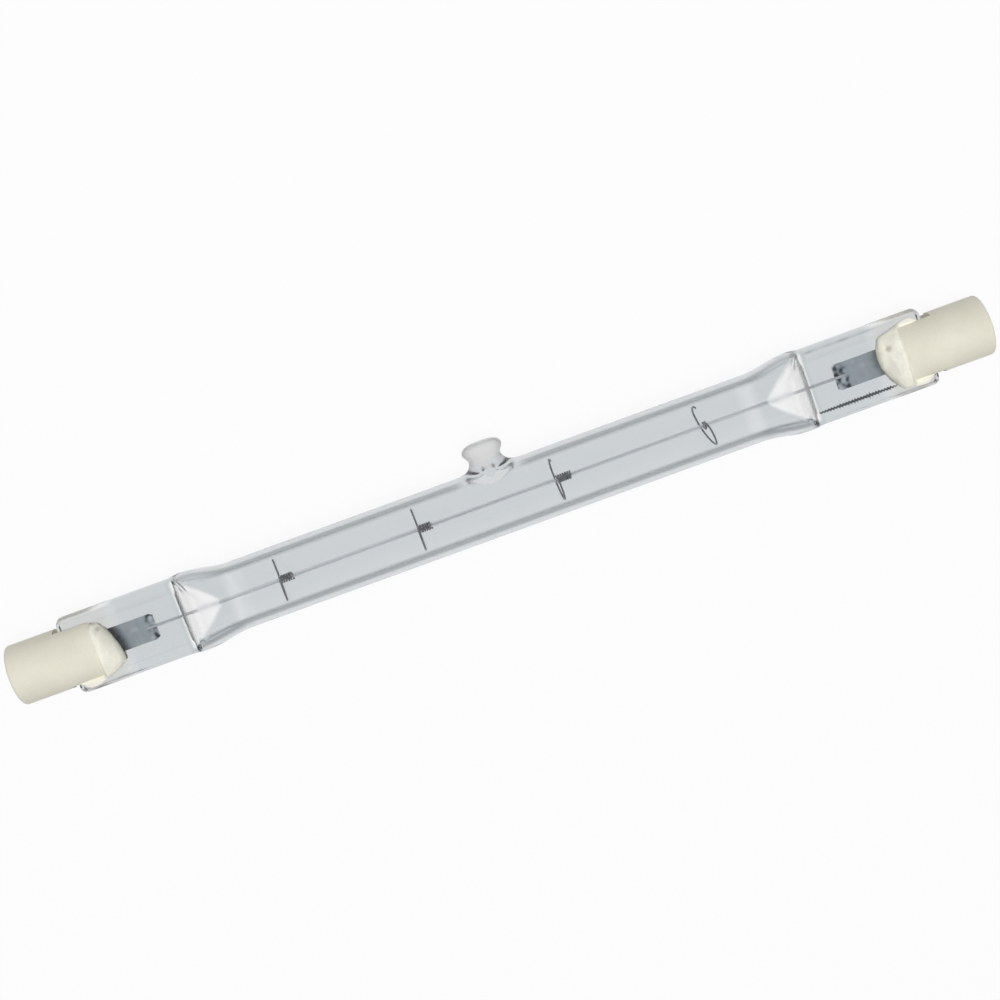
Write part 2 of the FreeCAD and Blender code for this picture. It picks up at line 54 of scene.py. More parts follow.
# sizes shared by several pieces, in millimetres, in the lamp's own frame: x along the axis,
# y towards the exhaust tip, z out of the flat seals
lamp = {
    "tubeRadius": 4.0, "boreRadius": 3.1, "boreEnd": {-1: 38.0, 1: 37.0}, "sealEnd": {-1: 52.2, 1: 51.8},
    "tipHead": 2.38, "tipHeadTop": 6.5, "capEnd": 58.8, "barrelInner": 48.3, "slotFloor": 52.9,
    "slotHalf": 1.45, "capRadius": 3.55, "filamentEnds": (-35.0, 34.0), "filamentRadius": 0.27,
}
headReach = math.hypot(lamp["tipHeadTop"], lamp["tipHead"])
restRoll = math.asin(lamp["tubeRadius"] / headReach) - math.atan2(lamp["tipHead"], lamp["tipHeadTop"])
layDown = Matrix.Rotation(-restRoll, 4, "X")
liftUp = layDown.inverted()


def smooth(low, high, value):
    t = min(max((value - low) / (high - low), 0.0), 1.0)
    return t * t * (3.0 - 2.0 * t)


def softMin(a, b, width):
    low, gap = min(a, b), abs(a - b)
    return low - width * math.log1p(math.exp(-gap / width))


def ripple(x, y, z, size, seed=0.0):
    return noise.noise(Vector((x / size + seed, y / size - seed, z / size + 2.0 * seed)))


def sideOf(value):
    return 1 if value > 0 else -1


def placed(points):
    # from millimetres in the lamp's frame to metres where it lies
    return [layDown @ (Vector(p) * mm) for p in points]


def lampPoint(place):
    # from metres where it lies to millimetres in the lamp's frame
    return (liftUp @ place) / mm


def ringBand(low, high, count):
    # quads between two closed rings of points that begin at low and high
    for k in range(count):
        after = (k + 1) % count
        yield low + k, low + after, high + after, high + k


def sharpen(work, angle):
    for edge in work.edges:
        if edge.is_manifold and edge.calc_face_angle(0.0) > math.radians(angle):
            edge.smooth = False


def meshFrom(name, points, faces, material, sharpAngle=None):
    mesh = bpy.data.meshes.new(name)
    mesh.from_pydata(placed(points), [], faces)
    work = bmesh.new()
    work.from_mesh(mesh)
    bmesh.ops.remove_doubles(work, verts=work.verts, dist=1e-7)
    bmesh.ops.recalc_face_normals(work, faces=work.faces)
    for face in work.faces:
        face.smooth = True
    if sharpAngle is not None:
        sharpen(work, sharpAngle)
    work.to_mesh(mesh)
    work.free()
    mesh.materials.append(material)
    return mesh


def addPiece(name, mesh, node):
    piece = bpy.data.objects.new(name, mesh)
    bpy.context.collection.objects.link(piece)
    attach(piece, "root")
    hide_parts(node)
    return piece


# Shader groups and materials

def link(tree, source, target):
    tree.links.new(source, target)


def addNode(tree, kind, values=None, **settings):
    # a node with its settings first, then its inputs' values by name
    node = tree.nodes.new(kind)
    for label, value in settings.items():
        setattr(node, label, value)
    for label, value in (values or {}).items():
        node.inputs[label].default_value = value
    return node


def speckleGroup():
    # fine grain over broad patches, as a mask and as a bump height
    group = bpy.data.node_groups.new("grain", "ShaderNodeTree")
    for label, value in (("Fine", 4000.0), ("Broad", 300.0), ("Mix", 0.5)):
        socket = group.interface.new_socket(label, in_out="INPUT", socket_type="NodeSocketFloat")
        socket.default_value = value
    group.interface.new_socket("Mask", in_out="OUTPUT", socket_type="NodeSocketFloat")
    given, out = group.nodes.new("NodeGroupInput"), group.nodes.new("NodeGroupOutput")
    coord = group.nodes.new("ShaderNodeTexCoord")
    blend = group.nodes.new("ShaderNodeMix")
    for label, detail, target in (("Fine", 4.0, "B"), ("Broad", 3.0, "A")):
        speckle = addNode(group, "ShaderNodeTexNoise", {"Detail": detail})
        link(group, coord.outputs["Object"], speckle.inputs["Vector"])
        link(group, given.outputs[label], speckle.inputs["Scale"])
        link(group, speckle.outputs["Fac"], blend.inputs[target])
    link(group, given.outputs["Mix"], blend.inputs["Factor"])
    link(group, blend.outputs["Result"], out.inputs["Mask"])
    return group


grain = speckleGroup()


def newMaterial(name):
    material = bpy.data.materials.new(name)
    material.use_nodes = True
    tree = material.node_tree
    return material, tree, tree.nodes["Principled BSDF"]


def grainMask(tree, fine, broad, mix):
    values = {"Fine": fine, "Broad": broad, "Mix": mix}
    return addNode(tree, "ShaderNodeGroup", values, node_tree=grain).outputs["Mask"]


def dented(tree, shader, height, strength, depth):
    dents = addNode(tree, "ShaderNodeBump", {"Strength": strength, "Distance": depth})
    link(tree, height, dents.inputs["Height"])
    link(tree, dents.outputs["Normal"], shader.inputs["Normal"])


def ranged(tree, source, values, **settings):
    node = addNode(tree, "ShaderNodeMapRange", values, **settings)
    link(tree, source, node.inputs["Value"])
    return node.outputs["Result"]


def eased(tree, source, low, high, start=0.0, stop=1.0):
    values = {"From Min": low, "From Max": high, "To Min": start, "To Max": stop}
    return ranged(tree, source, values, interpolation_type="SMOOTHSTEP")


def times(tree, first, second):
    node = addNode(tree, "ShaderNodeMath", operation="MULTIPLY")
    link(tree, first, node.inputs[0])
    link(tree, second, node.inputs[1])
    return node.outputs["Value"]


def towards(tree, factor, base, colour):
    # a colour that moves to a fixed one
    node = addNode(tree, "ShaderNodeMix", {"B": (*colour, 1.0)}, data_type="RGBA")
    link(tree, factor, node.inputs["Factor"])
    link(tree, base, node.inputs["A"])
    return node.outputs["Result"]


def attributeNode(tree, name):
    return addNode(tree, "ShaderNodeAttribute", attribute_name=name).outputs["Fac"]


def grainyMaterial(name, dark, light, roughness, grit, pitShade=None):
    # colour and roughness wander between two values with the grain, which also dents the surface; where an
    # attribute says, the colour moves to a given colour of painted shade
    material, tree, shader = newMaterial(name)
    mask = grainMask(tree, grit["fine"], grit["broad"], grit["mix"])
    ramp = tree.nodes.new("ShaderNodeValToRGB")
    for element, place, shade in zip(ramp.color_ramp.elements, (0.35, 0.65), (dark, light)):
        element.position = place
        element.color = (*shade, 1.0)
    link(tree, mask, ramp.inputs["Fac"])
    colour = ramp.outputs["Color"]
    # painted shade in the cement's pits, as a colour the base colour moves towards
    if pitShade is not None:
        colour = towards(tree, attributeNode(tree, "pitShade"), colour, pitShade)
    link(tree, colour, shader.inputs["Base Color"])
    rough = ranged(tree, mask, {"To Min": roughness[0], "To Max": roughness[1]})
    link(tree, rough, shader.inputs["Roughness"])
    dented(tree, shader, mask, grit["bump"], grit["depth"])
    shader.inputs["Metallic"].default_value = grit["metallic"]
    return material


# grains and patches per metre, share of the grain, strength and depth (metres) of the dents
ceramicGrit = {"fine": 6000.0, "broad": 250.0, "mix": 0.4, "bump": 0.15, "depth": 0.00005, "metallic": 0.0}
pasteGrit = {"fine": 3000.0, "broad": 500.0, "mix": 0.55, "bump": 0.5, "depth": 0.00015, "metallic": 0.0}
drawnGrit = {"fine": 9000.0, "broad": 1200.0, "mix": 0.5, "bump": 0.1, "depth": 0.00002, "metallic": 1.0}
turnedGrit = {**drawnGrit, "broad": 900.0, "depth": 0.00003}
sootyGrit = {**drawnGrit, "fine": 5000.0, "mix": 0.6}

# dark and light colour, range of roughness
steatite = grainyMaterial("steatite", (0.755, 0.722, 0.605), (0.836, 0.807, 0.684), (0.45, 0.6), ceramicGrit)
cementPaste = grainyMaterial("cementPaste", (0.89, 0.862, 0.748), (0.97, 0.942, 0.838), (0.75, 0.95),
                             pasteGrit, pitShade=(0.40, 0.38, 0.33))
nickel = grainyMaterial("nickel", (0.58, 0.56, 0.52), (0.70, 0.68, 0.63), (0.25, 0.42), turnedGrit)
molybdenum = grainyMaterial("molybdenum", (0.34, 0.34, 0.36), (0.48, 0.48, 0.50), (0.3, 0.5), turnedGrit)
tungsten = grainyMaterial("tungsten", (0.84, 0.85, 0.86), (0.95, 0.96, 0.97), (0.28, 0.45), drawnGrit)
leadWire = grainyMaterial("leadWire", (0.62, 0.63, 0.65), (0.76, 0.77, 0.79), (0.3, 0.45), drawnGrit)
darkWire = grainyMaterial("darkWire", (0.12, 0.12, 0.125), (0.30, 0.30, 0.31), (0.3, 0.5), sootyGrit)

quartzLook = {
    "lowAngle": (0.40, 0.80), "lowAngleShade": (0.16, 0.17, 0.18),  # the bore's skin seen at a low angle
    "lineFrom": (0.325, 0.385), "lineTo": (0.45, 0.55), "lineShade": (0.22, 0.235, 0.24),  # line of the wall
    "grain": (700.0, 180.0, 0.25), "polish": 0.03, "frost": 0.16,  # roughness by grain and by haze
    "waves": 0.06, "waveDepth": 0.0002, "refraction": 1.458,
}


def quartzMaterial():
    # tint holds the greyness of the glass, and its alpha says how strongly the bore's skin takes painted
    # shade at a low angle; wall says where the tube gets the painted shade line of its wall; haze roughens
    # the melted tip, the shoulders, the bore's ends and the ground rim
    material, tree, shader = newMaterial("quartz")
    tint = addNode(tree, "ShaderNodeVertexColor", layer_name="tint")
    facing = tree.nodes.new("ShaderNodeLayerWeight").outputs["Facing"]
    onBore = times(tree, eased(tree, facing, *quartzLook["lowAngle"]), tint.outputs["Alpha"])
    colour = towards(tree, onBore, tint.outputs["Color"], quartzLook["lowAngleShade"])
    rise = eased(tree, facing, *quartzLook["lineFrom"])
    fall = eased(tree, facing, *quartzLook["lineTo"], 1.0, 0.0)
    onTube = times(tree, times(tree, rise, fall), attributeNode(tree, "wall"))
    link(tree, towards(tree, onTube, colour, quartzLook["lineShade"]), shader.inputs["Base Color"])
    mask = grainMask(tree, *quartzLook["grain"])
    frost = addNode(tree, "ShaderNodeMath", operation="MULTIPLY_ADD")
    frost.inputs[1].default_value = quartzLook["frost"]
    link(tree, attributeNode(tree, "haze"), frost.inputs[0])
    link(tree, ranged(tree, mask, {"To Min": 0.0, "To Max": quartzLook["polish"]}), frost.inputs[2])
    link(tree, frost.outputs["Value"], shader.inputs["Roughness"])
    dented(tree, shader, mask, quartzLook["waves"], quartzLook["waveDepth"])
    shader.inputs["IOR"].default_value = quartzLook["refraction"]
    shader.inputs["Transmission Weight"].default_value = 1.0
    return material


quartz = quartzMaterial()

foilLook = {
    "grain": (4000.0, 1100.0, 0.45), "swing": 0.05, "dents": 0.5, "dentDepth": 0.0001,
    "metallic": 0.6, "rough": 0.45,
    "dark": (0.008, 0.009, 0.011), "pale": (0.88, 0.90, 0.93),
    "between": ((0.3, (0.09, 0.10, 0.12)), (0.6, (0.54, 0.60, 0.64))),  # place on the scale and its colour
}


def foilMaterial():
    # heat-tinted metal; the tone attribute says where it is dark or rubbed pale
    material, tree, shader = newMaterial("sealFoil")
    mask = grainMask(tree, *foilLook["grain"])
    swing = ranged(tree, mask, {"From Min": 0.3, "From Max": 0.7, "To Min": -foilLook["swing"],
                                "To Max": foilLook["swing"]})
    level = addNode(tree, "ShaderNodeMath", operation="ADD", use_clamp=True)
    link(tree, swing, level.inputs[0])
    link(tree, attributeNode(tree, "tone"), level.inputs[1])
    ramp = tree.nodes.new("ShaderNodeValToRGB")
    ramp.color_ramp.elements[0].color = (*foilLook["dark"], 1.0)
    ramp.color_ramp.elements[1].color = (*foilLook["pale"], 1.0)
    for place, shade in foilLook["between"]:
        ramp.color_ramp.elements.new(place).color = (*shade, 1.0)
    link(tree, level.outputs["Value"], ramp.inputs["Fac"])
    link(tree, ramp.outputs["Color"], shader.inputs["Base Color"])
    dented(tree, shader, mask, foilLook["dents"], foilLook["dentDepth"])
    shader.inputs["Metallic"].default_value = foilLook["metallic"]
    shader.inputs["Roughness"].default_value = foilLook["rough"]
    return material


sealFoil = foilMaterial()
print("materials ready")

# Quartz envelope

glass = {
    # swell of the tube, pressed shoulders and flat seals
    "swellLength": 6.5, "swellPeak": 1.0, "swellHalf": 4.74, "swellTall": 3.85, "settle": 1.2,
    "sealHalf": 4.58, "shoulderLength": 4.4, "shoulderFoot": 0.1, "footSoft": 0.07, "crest": 0.05,
    "openRise": 0.3,
    "ribHalf": 1.3, "webHalf": 1.0, "webWidth": 6.1, "webRamp": 0.5, "ribInner": 0.35, "ribOuter": 0.3,
    "corner": 0.6, "edgeSoft": 0.1, "waveHeight": 0.03, "waveSize": 1.3,
    # bore
    "borePower": 2.4, "boreSoft": 0.05, "slit": 0.12,
    # exhaust tip
    "neck": 1.9, "tipTop": 3.2, "hollowTop": 1.68,
    # jagged press mark on the right seal, with painted shade in its groove
    "toothFrom": 37.6, "toothTo": 47.0, "toothTaper": 2.6, "toothPitch": 0.36, "toothDeep": 0.07,
    "grooveDeep": 0.2, "grooveHalf": 0.19, "grooveDark": 0.985,
    # mesh: points around, half length and half width of the patch that carries the tip, lengths of rows
    "around": 112, "patchHalf": 4.25, "patchTurns": 17, "fineLead": 7.0, "tubeRow": 1.1,
    "outerRows": (0.2, 0.06), "boreRows": (0.13, 0.05),
    # tints, as light that one skin lets through; from capFrom outwards the seal lies by the cement
    "grey": (0.638, 0.670, 0.690), "sealGrey": (0.618, 0.650, 0.668), "capGrey": (0.665, 0.675, 0.675),
    "clear": (0.99, 0.99, 0.99), "tipGrey": (0.77, 0.775, 0.765), "capFrom": 45.2,
    # painted shade lines on the web's edges and along the upper rim
    "edgeDark": 0.14, "rimLine": (4.02, 0.16), "rimDark": 0.42,  # lines on the web's edges and the upper rim
    # pale arrow on the shoulders, a painted highlight where the pressed facets reflect light
    "arrowLength": {-1: 4.75, 1: 5.1}, "arrowHalf": 4.0, "arrowPower": 0.8, "arrowLean": 0.14,
    "arrowSoft": 0.28,
    # frosted places
    "tipHaze": 2.1, "arrowHaze": 2.4, "rimHaze": 3.0, "endHaze": {-1: 2.2, 1: 3.4},
    "footHaze": {-1: 1.7, 1: 2.4},
}


def pastBore(x):
    # side along the axis and distance beyond the bore's end on that side
    side = sideOf(x)
    return side, abs(x) - lamp["boreEnd"][side]


def arcDrop(run, length, drop):
    # height lost along a quarter-like arc that starts level and reaches drop at length
    radius = (length * length + drop * drop) / (2.0 * drop)
    return radius - math.sqrt(max(radius * radius - run * run, 0.0))


def outerHalf(distance, side):
    boreEnd, sealEnd = lamp["boreEnd"][side], lamp["sealEnd"][side]
    start, peak = boreEnd - glass["swellLength"], boreEnd - glass["swellPeak"]
    half = lamp["tubeRadius"] + (glass["swellHalf"] - lamp["tubeRadius"]) * smooth(start, peak, distance)
    half += (glass["sealHalf"] - glass["swellHalf"]) * smooth(peak, boreEnd + glass["settle"], distance)
    over = max(distance - (sealEnd - glass["corner"]), 0.0) / glass["corner"]
    return half - glass["corner"] * (1.0 - math.sqrt(max(1.0 - over * over, 0.0)))


def outerLimit(distance, side):
    # height that the press leaves, open above the tube
    start = lamp["boreEnd"][side] - glass["shoulderLength"]
    foot = lamp["boreEnd"][side] + glass["shoulderFoot"]
    crest = lamp["tubeRadius"] + glass["crest"]
    if distance < start:
        return crest + glass["openRise"] * (start - distance)
    run = min(distance, foot + 0.2) - start
    arc = crest - arcDrop(run, foot - start, crest - glass["ribHalf"])
    return -softMin(-arc, -glass["ribHalf"], glass["footSoft"])


def ribAt(y):
    # 0 on the seal's thin web, 1 on its ribs
    edge = glass["webWidth"] / 2
    return smooth(edge - glass["ribInner"], edge + glass["ribOuter"], abs(y))


def outerPoint(x, turn):
    side, distance = sideOf(x), abs(x)
    y = outerHalf(distance, side) * math.cos(turn)
    start, peak = (lamp["boreEnd"][side] - glass[key] for key in ("swellLength", "swellPeak"))
    tall = lamp["tubeRadius"] + (glass["swellTall"] - lamp["tubeRadius"]) * smooth(start, peak, distance)
    z = tall * math.sin(turn)
    height = abs(z)
    if height > 0.3:
        height = softMin(height, outerLimit(distance, side), glass["edgeSoft"])
    foot = lamp["boreEnd"][side] + glass["shoulderFoot"]
    sunk = smooth(foot, foot + glass["webRamp"], distance) * (1.0 - ribAt(y))
    pressed = smooth(foot - 1.0, foot + 0.5, distance) * smooth(0.5, 0.9, abs(z))
    height -= sunk * (glass["ribHalf"] - glass["webHalf"])
    height += pressed * glass["waveHeight"] * ripple(x, y, z, glass["waveSize"], 3.0)
    height -= glass["grooveDeep"] * max(1.0 - toothOff(x, y, z) / glass["grooveHalf"], 0.0)
    return x, y, math.copysign(height, z)


def toothOff(x, y, z):
    # distance to the jagged press mark along the lower edge of the right seal's web; it thins at its ends
    if not (glass["toothFrom"] < x < glass["toothTo"] and y < 0.0 < z):
        return 1.0
    tooth = abs((x / glass["toothPitch"]) % 1.0 - 0.5) * 4.0 - 1.0
    uneven = 1.0 + 0.7 * ripple(x, 0.0, 0.0, 0.5, 8.0)
    off = abs(-y - glass["webWidth"] / 2 - glass["toothDeep"] * tooth * uneven)
    taper = smooth(0.0, glass["toothTaper"], min(x - glass["toothFrom"], glass["toothTo"] - x))
    return off / (0.55 + 0.4 * taper + 0.5 * ripple(x, 0.0, 0.0, 0.8, 2.0))


def boreHalf(distance, side):
    start = lamp["boreEnd"][side] - glass["swellLength"]
    reach = glass["swellHalf"] - lamp["tubeRadius"]
    return lamp["boreRadius"] + reach * smooth(start, lamp["boreEnd"][side] + 1.0, distance)


def boreLimit(distance, side):
    start = lamp["boreEnd"][side] - glass["shoulderLength"]
    crest = lamp["boreRadius"] + glass["crest"]
    if distance < start:
        return crest + glass["openRise"] * (start - distance)
    closed = ((distance - start) / glass["shoulderLength"]) ** glass["borePower"]
    return crest - (crest - glass["slit"]) * closed


def borePoint(x, turn):
    side, distance = sideOf(x), abs(x)
    y = boreHalf(distance, side) * math.cos(turn)
    z = lamp["boreRadius"] * math.sin(turn)
    limit = boreLimit(distance, side)
    height = abs(z)
    if height > 0.02:
        height = softMin(height, limit, min(glass["boreSoft"], 0.3 * limit))
    return x, y, math.copysign(max(height, 0.0), z)


def stations(ends, fineFrom, rows):
    # coarse on the plain tube, even and fine where the tip's patch joins, fine from the flare outwards
    half, count = glass["patchHalf"], 2 * glass["patchTurns"]
    places = [-half + 2.0 * half * i / count for i in range(count + 1)]
    fineRow, endRow = rows
    for side in (-1, 1):
        at = half
        while at < ends[side] - 1e-6:
            step = glass["tubeRow"] if at < fineFrom[side] else fineRow
            if side > 0 and glass["toothFrom"] - 0.1 < at < glass["toothTo"]:
                step = glass["toothPitch"] / 6.0
            if at > ends[side] - glass["corner"] - 0.01:
                step = endRow
            at = min(at + step, ends[side])
            places.append(side * at)
    return sorted(set(round(p, 6) for p in places))


def turnAt(k):
    # even steps beside the tip, close steps where the lower edge of the seal's web lies
    around, beside = glass["around"], glass["patchTurns"]
    if k > around // 2:
        return 2.0 * math.pi - turnAt(around - k)
    marks = ((0, 0.0), (beside, beside * 360.0 / around), (beside + 17, 127.8), (beside + 29, 135.8),
             (around // 2, 180.0))
    for (low, begin), (high, end) in zip(marks, marks[1:]):
        if k <= high:
            return math.radians(begin + (end - begin) * (k - low) / (high - low))


def inPatch(x):
    return -glass["patchHalf"] - 1e-6 <= x <= glass["patchHalf"] + 1e-6


def skin(pointAt, places):
    # rings of points; the faces inside the patch's rectangle on the +y side are left out
    around, beside = glass["around"], glass["patchTurns"]
    points, faces = [], []
    turns = [turnAt(k) for k in range(around)]
    for x in places:
        points += [pointAt(x, turn) for turn in turns]
    for row in range(len(places) - 1):
        holed = inPatch(places[row]) and inPatch(places[row + 1])
        for k, quad in enumerate(ringBand(row * around, (row + 1) * around, around)):
            if not (holed and (k < beside or k >= around - beside)):
                faces.append(quad)
    for row in (0, len(places) - 1):
        base = row * around
        for k in range(around // 2):
            low, lowNext = (around - k) % around, (around - k - 1) % around
            ring = [base + k, base + k + 1, base + lowNext, base + low]
            faces.append(tuple(dict.fromkeys(ring)))
    return points, faces


def patch(pointAt, places, rings, top):
    # from the rectangle's edge to the tip's rings: each spoke keeps its direction
    beside, step = glass["patchTurns"], 2.0 * math.pi / glass["around"]
    inside = [x for x in places if inPatch(x)]
    edge = [(x, -beside * step) for x in inside[:-1]]
    edge += [(inside[-1], k * step) for k in range(-beside, beside)]
    edge += [(x, beside * step) for x in reversed(inside[1:])]
    edge += [(inside[0], k * step) for k in range(beside, -beside, -1)]
    radius = math.hypot(*pointAt(0.0, 0.0)[1:])
    points = [pointAt(x, turn) for x, turn in edge]
    spokes = [(x, turn * radius, math.hypot(x, turn * radius)) for x, turn in edge]
    outerRing, outerHeight = rings[0]
    for share in (0.2, 0.4, 0.6, 0.8, 1.0):
        for x, arc, reach in spokes:
            u, w = x * outerRing / reach, arc * outerRing / reach
            px, pw = x + (u - x) * share, arc + (w - arc) * share
            rise = outerHeight * share
            points.append((px, radius * math.cos(pw / radius) + rise, radius * math.sin(pw / radius)))
    for number, (ring, height) in enumerate(rings[1:], 1):
        level = smooth(0.0, 1.0, min(number / 6.0, 1.0))  # the saddle of the tube evens out over six rings
        for x, arc, reach in spokes:
            u, w = x * ring / reach, arc * ring / reach
            saddle = math.sqrt(max(radius * radius - w * w, 0.0))
            points.append((u, saddle + (radius - saddle) * level + height, w))
    count = len(edge)
    faces = []
    for ring in range(len(points) // count - 1):
        faces += ringBand(ring * count, (ring + 1) * count, count)
    centre = len(points)
    points.append((0.0, radius + top, 0.0))
    last = centre - count
    faces += [(last + k, last + (k + 1) % count, centre) for k in range(count)]
    return points, faces


def tipRings():
    # radius from the tip's axis and height above the tube, from the melted skirt up to the crown
    neck, head = glass["neck"], lamp["tipHead"]
    rings = [(3.5, 0.01), (3.15, 0.05), (2.82, 0.13), (2.52, 0.26), (2.28, 0.44), (2.1, 0.67), (1.97, 0.93)]
    rings += [(neck, 1.18), (neck + 0.03, 1.36), (neck + 0.11, 1.54), (neck + 0.22, 1.72)]
    rings += [(neck + 0.34, 1.90), (head - 0.06, 2.07), (head, 2.25), (head - 0.02, 2.42)]
    rings += [(head - 0.09, 2.58), (head - 0.24, 2.76), (head - 0.45, 2.92), (head - 0.72, 3.04)]
    rings += [(1.3, 3.12), (0.9, 3.16), (0.5, 3.18), (0.2, 3.19)]
    return rings


def hollowRings():
    rings = [(1.5, 0.0), (1.2, 0.03), (0.95, 0.1), (0.78, 0.22), (0.66, 0.4), (0.58, 0.65)]
    rings += [(0.53, 0.95), (0.46, 1.2), (0.35, 1.42), (0.2, 1.58), (0.08, 1.65)]
    return rings


def besideTip(x, y):
    return smooth(2.0, 3.0, y) * (1.0 - smooth(2.8, 4.6, abs(x)))


def boreShade(x, y):
    # how strongly the bore's skin darkens at a low angle: less at the mouth of the tip and in the
    # closed corners
    side, past = pastBore(x)
    closing = smooth(-0.9, -0.2, past)
    kept = 0.0 if side > 0 else 0.3 + 0.7 * smooth(-1.2, 0.2, y)
    kept *= 1.0 - 0.8 * smooth(2.7, 3.4, abs(y))
    return (1.0 - smooth(3.0, 3.6, y)) * (1.0 - besideTip(x, y)) * (1.0 + (kept - 1.0) * closing)


def boreHaze(x):
    side, past = pastBore(x)
    return glass["endHaze"][side] * smooth(-0.8, -0.2, past)


def highlightArrowAt(side, past, y, z):
    # the pale arrow of painted highlight that the pressed shoulder shows from above, its point towards the
    # tube
    length = glass["arrowLength"][side]
    along = min(max((past + length) / length, 0.0), 1.0)
    reach = glass["arrowHalf"] * along ** glass["arrowPower"]
    arrow = smooth(-glass["arrowSoft"], glass["arrowSoft"], reach - abs(y - glass["arrowLean"] * z))
    return arrow * smooth(0.0, 0.03, along) * (1.0 - smooth(0.3, 0.75, past)) * smooth(-0.4, 0.4, z)


def paintedShadeLines(x, y, z):
    # painted shade: darker lines on the seals along the web's edges, in the jagged groove and along the
    # upper rim on the right
    side, past = pastBore(x)
    edge = math.exp(-((abs(y) - glass["webWidth"] / 2 - 0.05) / 0.1) ** 2) * smooth(0.5, 2.5, past)
    mark = 1.0 - glass["edgeDark"] * edge * (0.5 + 0.5 * ripple(x, y, 0.0, 2.2, 6.0))
    mark *= 1.0 - glass["grooveDark"] * (1.0 - smooth(0.13, 0.24, toothOff(x, y, z)))
    if side > 0 and z > 0.0:
        place, wide = glass["rimLine"]
        rim = math.exp(-((y - place) / wide) ** 2) * smooth(0.3, 1.5, past) * (1.0 - smooth(45.5, 47.0, x))
        mark *= 1.0 - rim * (glass["rimDark"] + 0.35 * ripple(x, 0.0, 0.0, 1.4, 3.0))
    return mark


def outerTint(x, y, z, melted):
    # grey tube and seal, cleared on the arrow as a painted highlight, darkened along painted shade lines,
    # milky on the tip;
    # on the shoulders and beside the cement the upper face takes the grey of both faces
    side, past = pastBore(x)
    begin = -glass["arrowLength"][side]
    sealed, capped = smooth(0.0, 1.0, past), smooth(glass["capFrom"], 47.0, abs(x))
    facets = smooth(begin - 2.2, begin - 0.4, past) * (1.0 - smooth(0.2, 1.2, past))
    depth = 1.0 + facets * (2.0 * smooth(-1.0, 1.0, z) - 1.0)
    depth += capped * (2.0 * smooth(0.8, 0.95, z) * (1.0 - smooth(4.15, 4.35, abs(y))) - 1.0)
    arrow, mark = highlightArrowAt(side, past, y, z), paintedShadeLines(x, y, z)
    keys = ("grey", "sealGrey", "capGrey", "clear", "tipGrey")
    colour = []
    for grey, sealGrey, capGrey, clear, tip in zip(*(glass[key] for key in keys)):
        plain = (grey + (sealGrey - grey) * sealed + (capGrey - sealGrey) * capped) ** depth
        lit = plain + (clear - plain) * arrow
        colour.append((lit + (tip - lit) * melted) * mark)
    return colour


def outerHaze(x, y, z, melted):
    # the strongest of: melted tip, foot of the shoulder, arrow, ground rim beside the cap
    side, past = pastBore(x)
    foot = glass["footHaze"][side] * smooth(-0.5, -0.15, past) * (1.0 - smooth(0.25, 0.5, past))
    arrow = glass["arrowHaze"] * highlightArrowAt(side, past, y, z) * (1.0 - smooth(-2.2, -1.2, past))
    rim = glass["rimHaze"] * smooth(glass["capFrom"], 46.6, abs(x)) * smooth(3.9, 4.2, abs(y))
    return max(glass["tipHaze"] * melted, foot, arrow, rim)


def wallShadeLine(x, y):
    # 1 where the round tube gets the painted shade line of its wall
    past = pastBore(x)[1]
    facets = smooth(-5.5, -3.5, past) * (1.0 - smooth(2.6, 3.2, abs(y)))
    return (1.0 - max(facets, smooth(-0.6, 0.4, past))) * (1.0 - besideTip(x, y))


def shell(parts):
    # a skin and the patch that fills its opening, merged where they meet
    work = bmesh.new()
    for points, faces in parts:
        verts = [work.verts.new(place) for place in placed(points)]
        for face in faces:
            work.faces.new([verts[i] for i in face])
    bmesh.ops.remove_doubles(work, verts=work.verts, dist=2e-6)
    bmesh.ops.recalc_face_normals(work, faces=work.faces)
    for face in work.faces:
        face.smooth = True
    return work


def paintGlass(mesh, outerCount):
    # what the quartz reads at each point; the outer skin's points come first
    for name in ("haze", "wall"):
        mesh.attributes.new(name, "FLOAT", "POINT")
    mesh.color_attributes.new("tint", "FLOAT_COLOR", "POINT")
    tint, haze, wall = mesh.color_attributes["tint"], mesh.attributes["haze"], mesh.attributes["wall"]
    for vert in mesh.vertices:
        x, y, z = lampPoint(vert.co)
        if vert.index < outerCount:
            melted = smooth(3.92, 4.25, y) * (1.0 - smooth(2.6, 3.2, abs(x)))
            tint.data[vert.index].color = (*outerTint(x, y, z, melted * smooth(4.2, 4.7, y)), 0.0)
            haze.data[vert.index].value = outerHaze(x, y, z, melted)
            wall.data[vert.index].value = wallShadeLine(x, y)
        else:
            tint.data[vert.index].color = (*glass["clear"], boreShade(x, y))
            haze.data[vert.index].value = boreHaze(x)


def buildGlass():
    fine = {side: lamp["boreEnd"][side] - glass["fineLead"] for side in (-1, 1)}
    outerPlaces = stations(lamp["sealEnd"], fine, glass["outerRows"])
    borePlaces = stations(lamp["boreEnd"], fine, glass["boreRows"])
    tip = patch(outerPoint, outerPlaces, tipRings(), glass["tipTop"])
    hollow = patch(borePoint, borePlaces, hollowRings(), glass["hollowTop"])
    outer = shell((skin(outerPoint, outerPlaces), tip))
    bore = shell((skin(borePoint, borePlaces), hollow))
    bmesh.ops.reverse_faces(bore, faces=bore.faces)
    mesh = bpy.data.meshes.new("quartzEnvelope")
    outer.to_mesh(mesh)
    outerCount = len(mesh.vertices)
    extra = bpy.data.meshes.new("boreSkin")
    bore.to_mesh(extra)
    joined = bmesh.new()
    joined.from_mesh(mesh)
    joined.from_mesh(extra)
    joined.to_mesh(mesh)
    for work in (outer, bore, joined):
        work.free()
    bpy.data.meshes.remove(extra)
    mesh.materials.append(quartz)
    paintGlass(mesh, outerCount)
    return mesh


envelope = addPiece("quartzEnvelope", buildGlass(), "quartz_envelope")
print("quartz envelope", len(envelope.data.polygons), "faces")

# Wires that follow a path

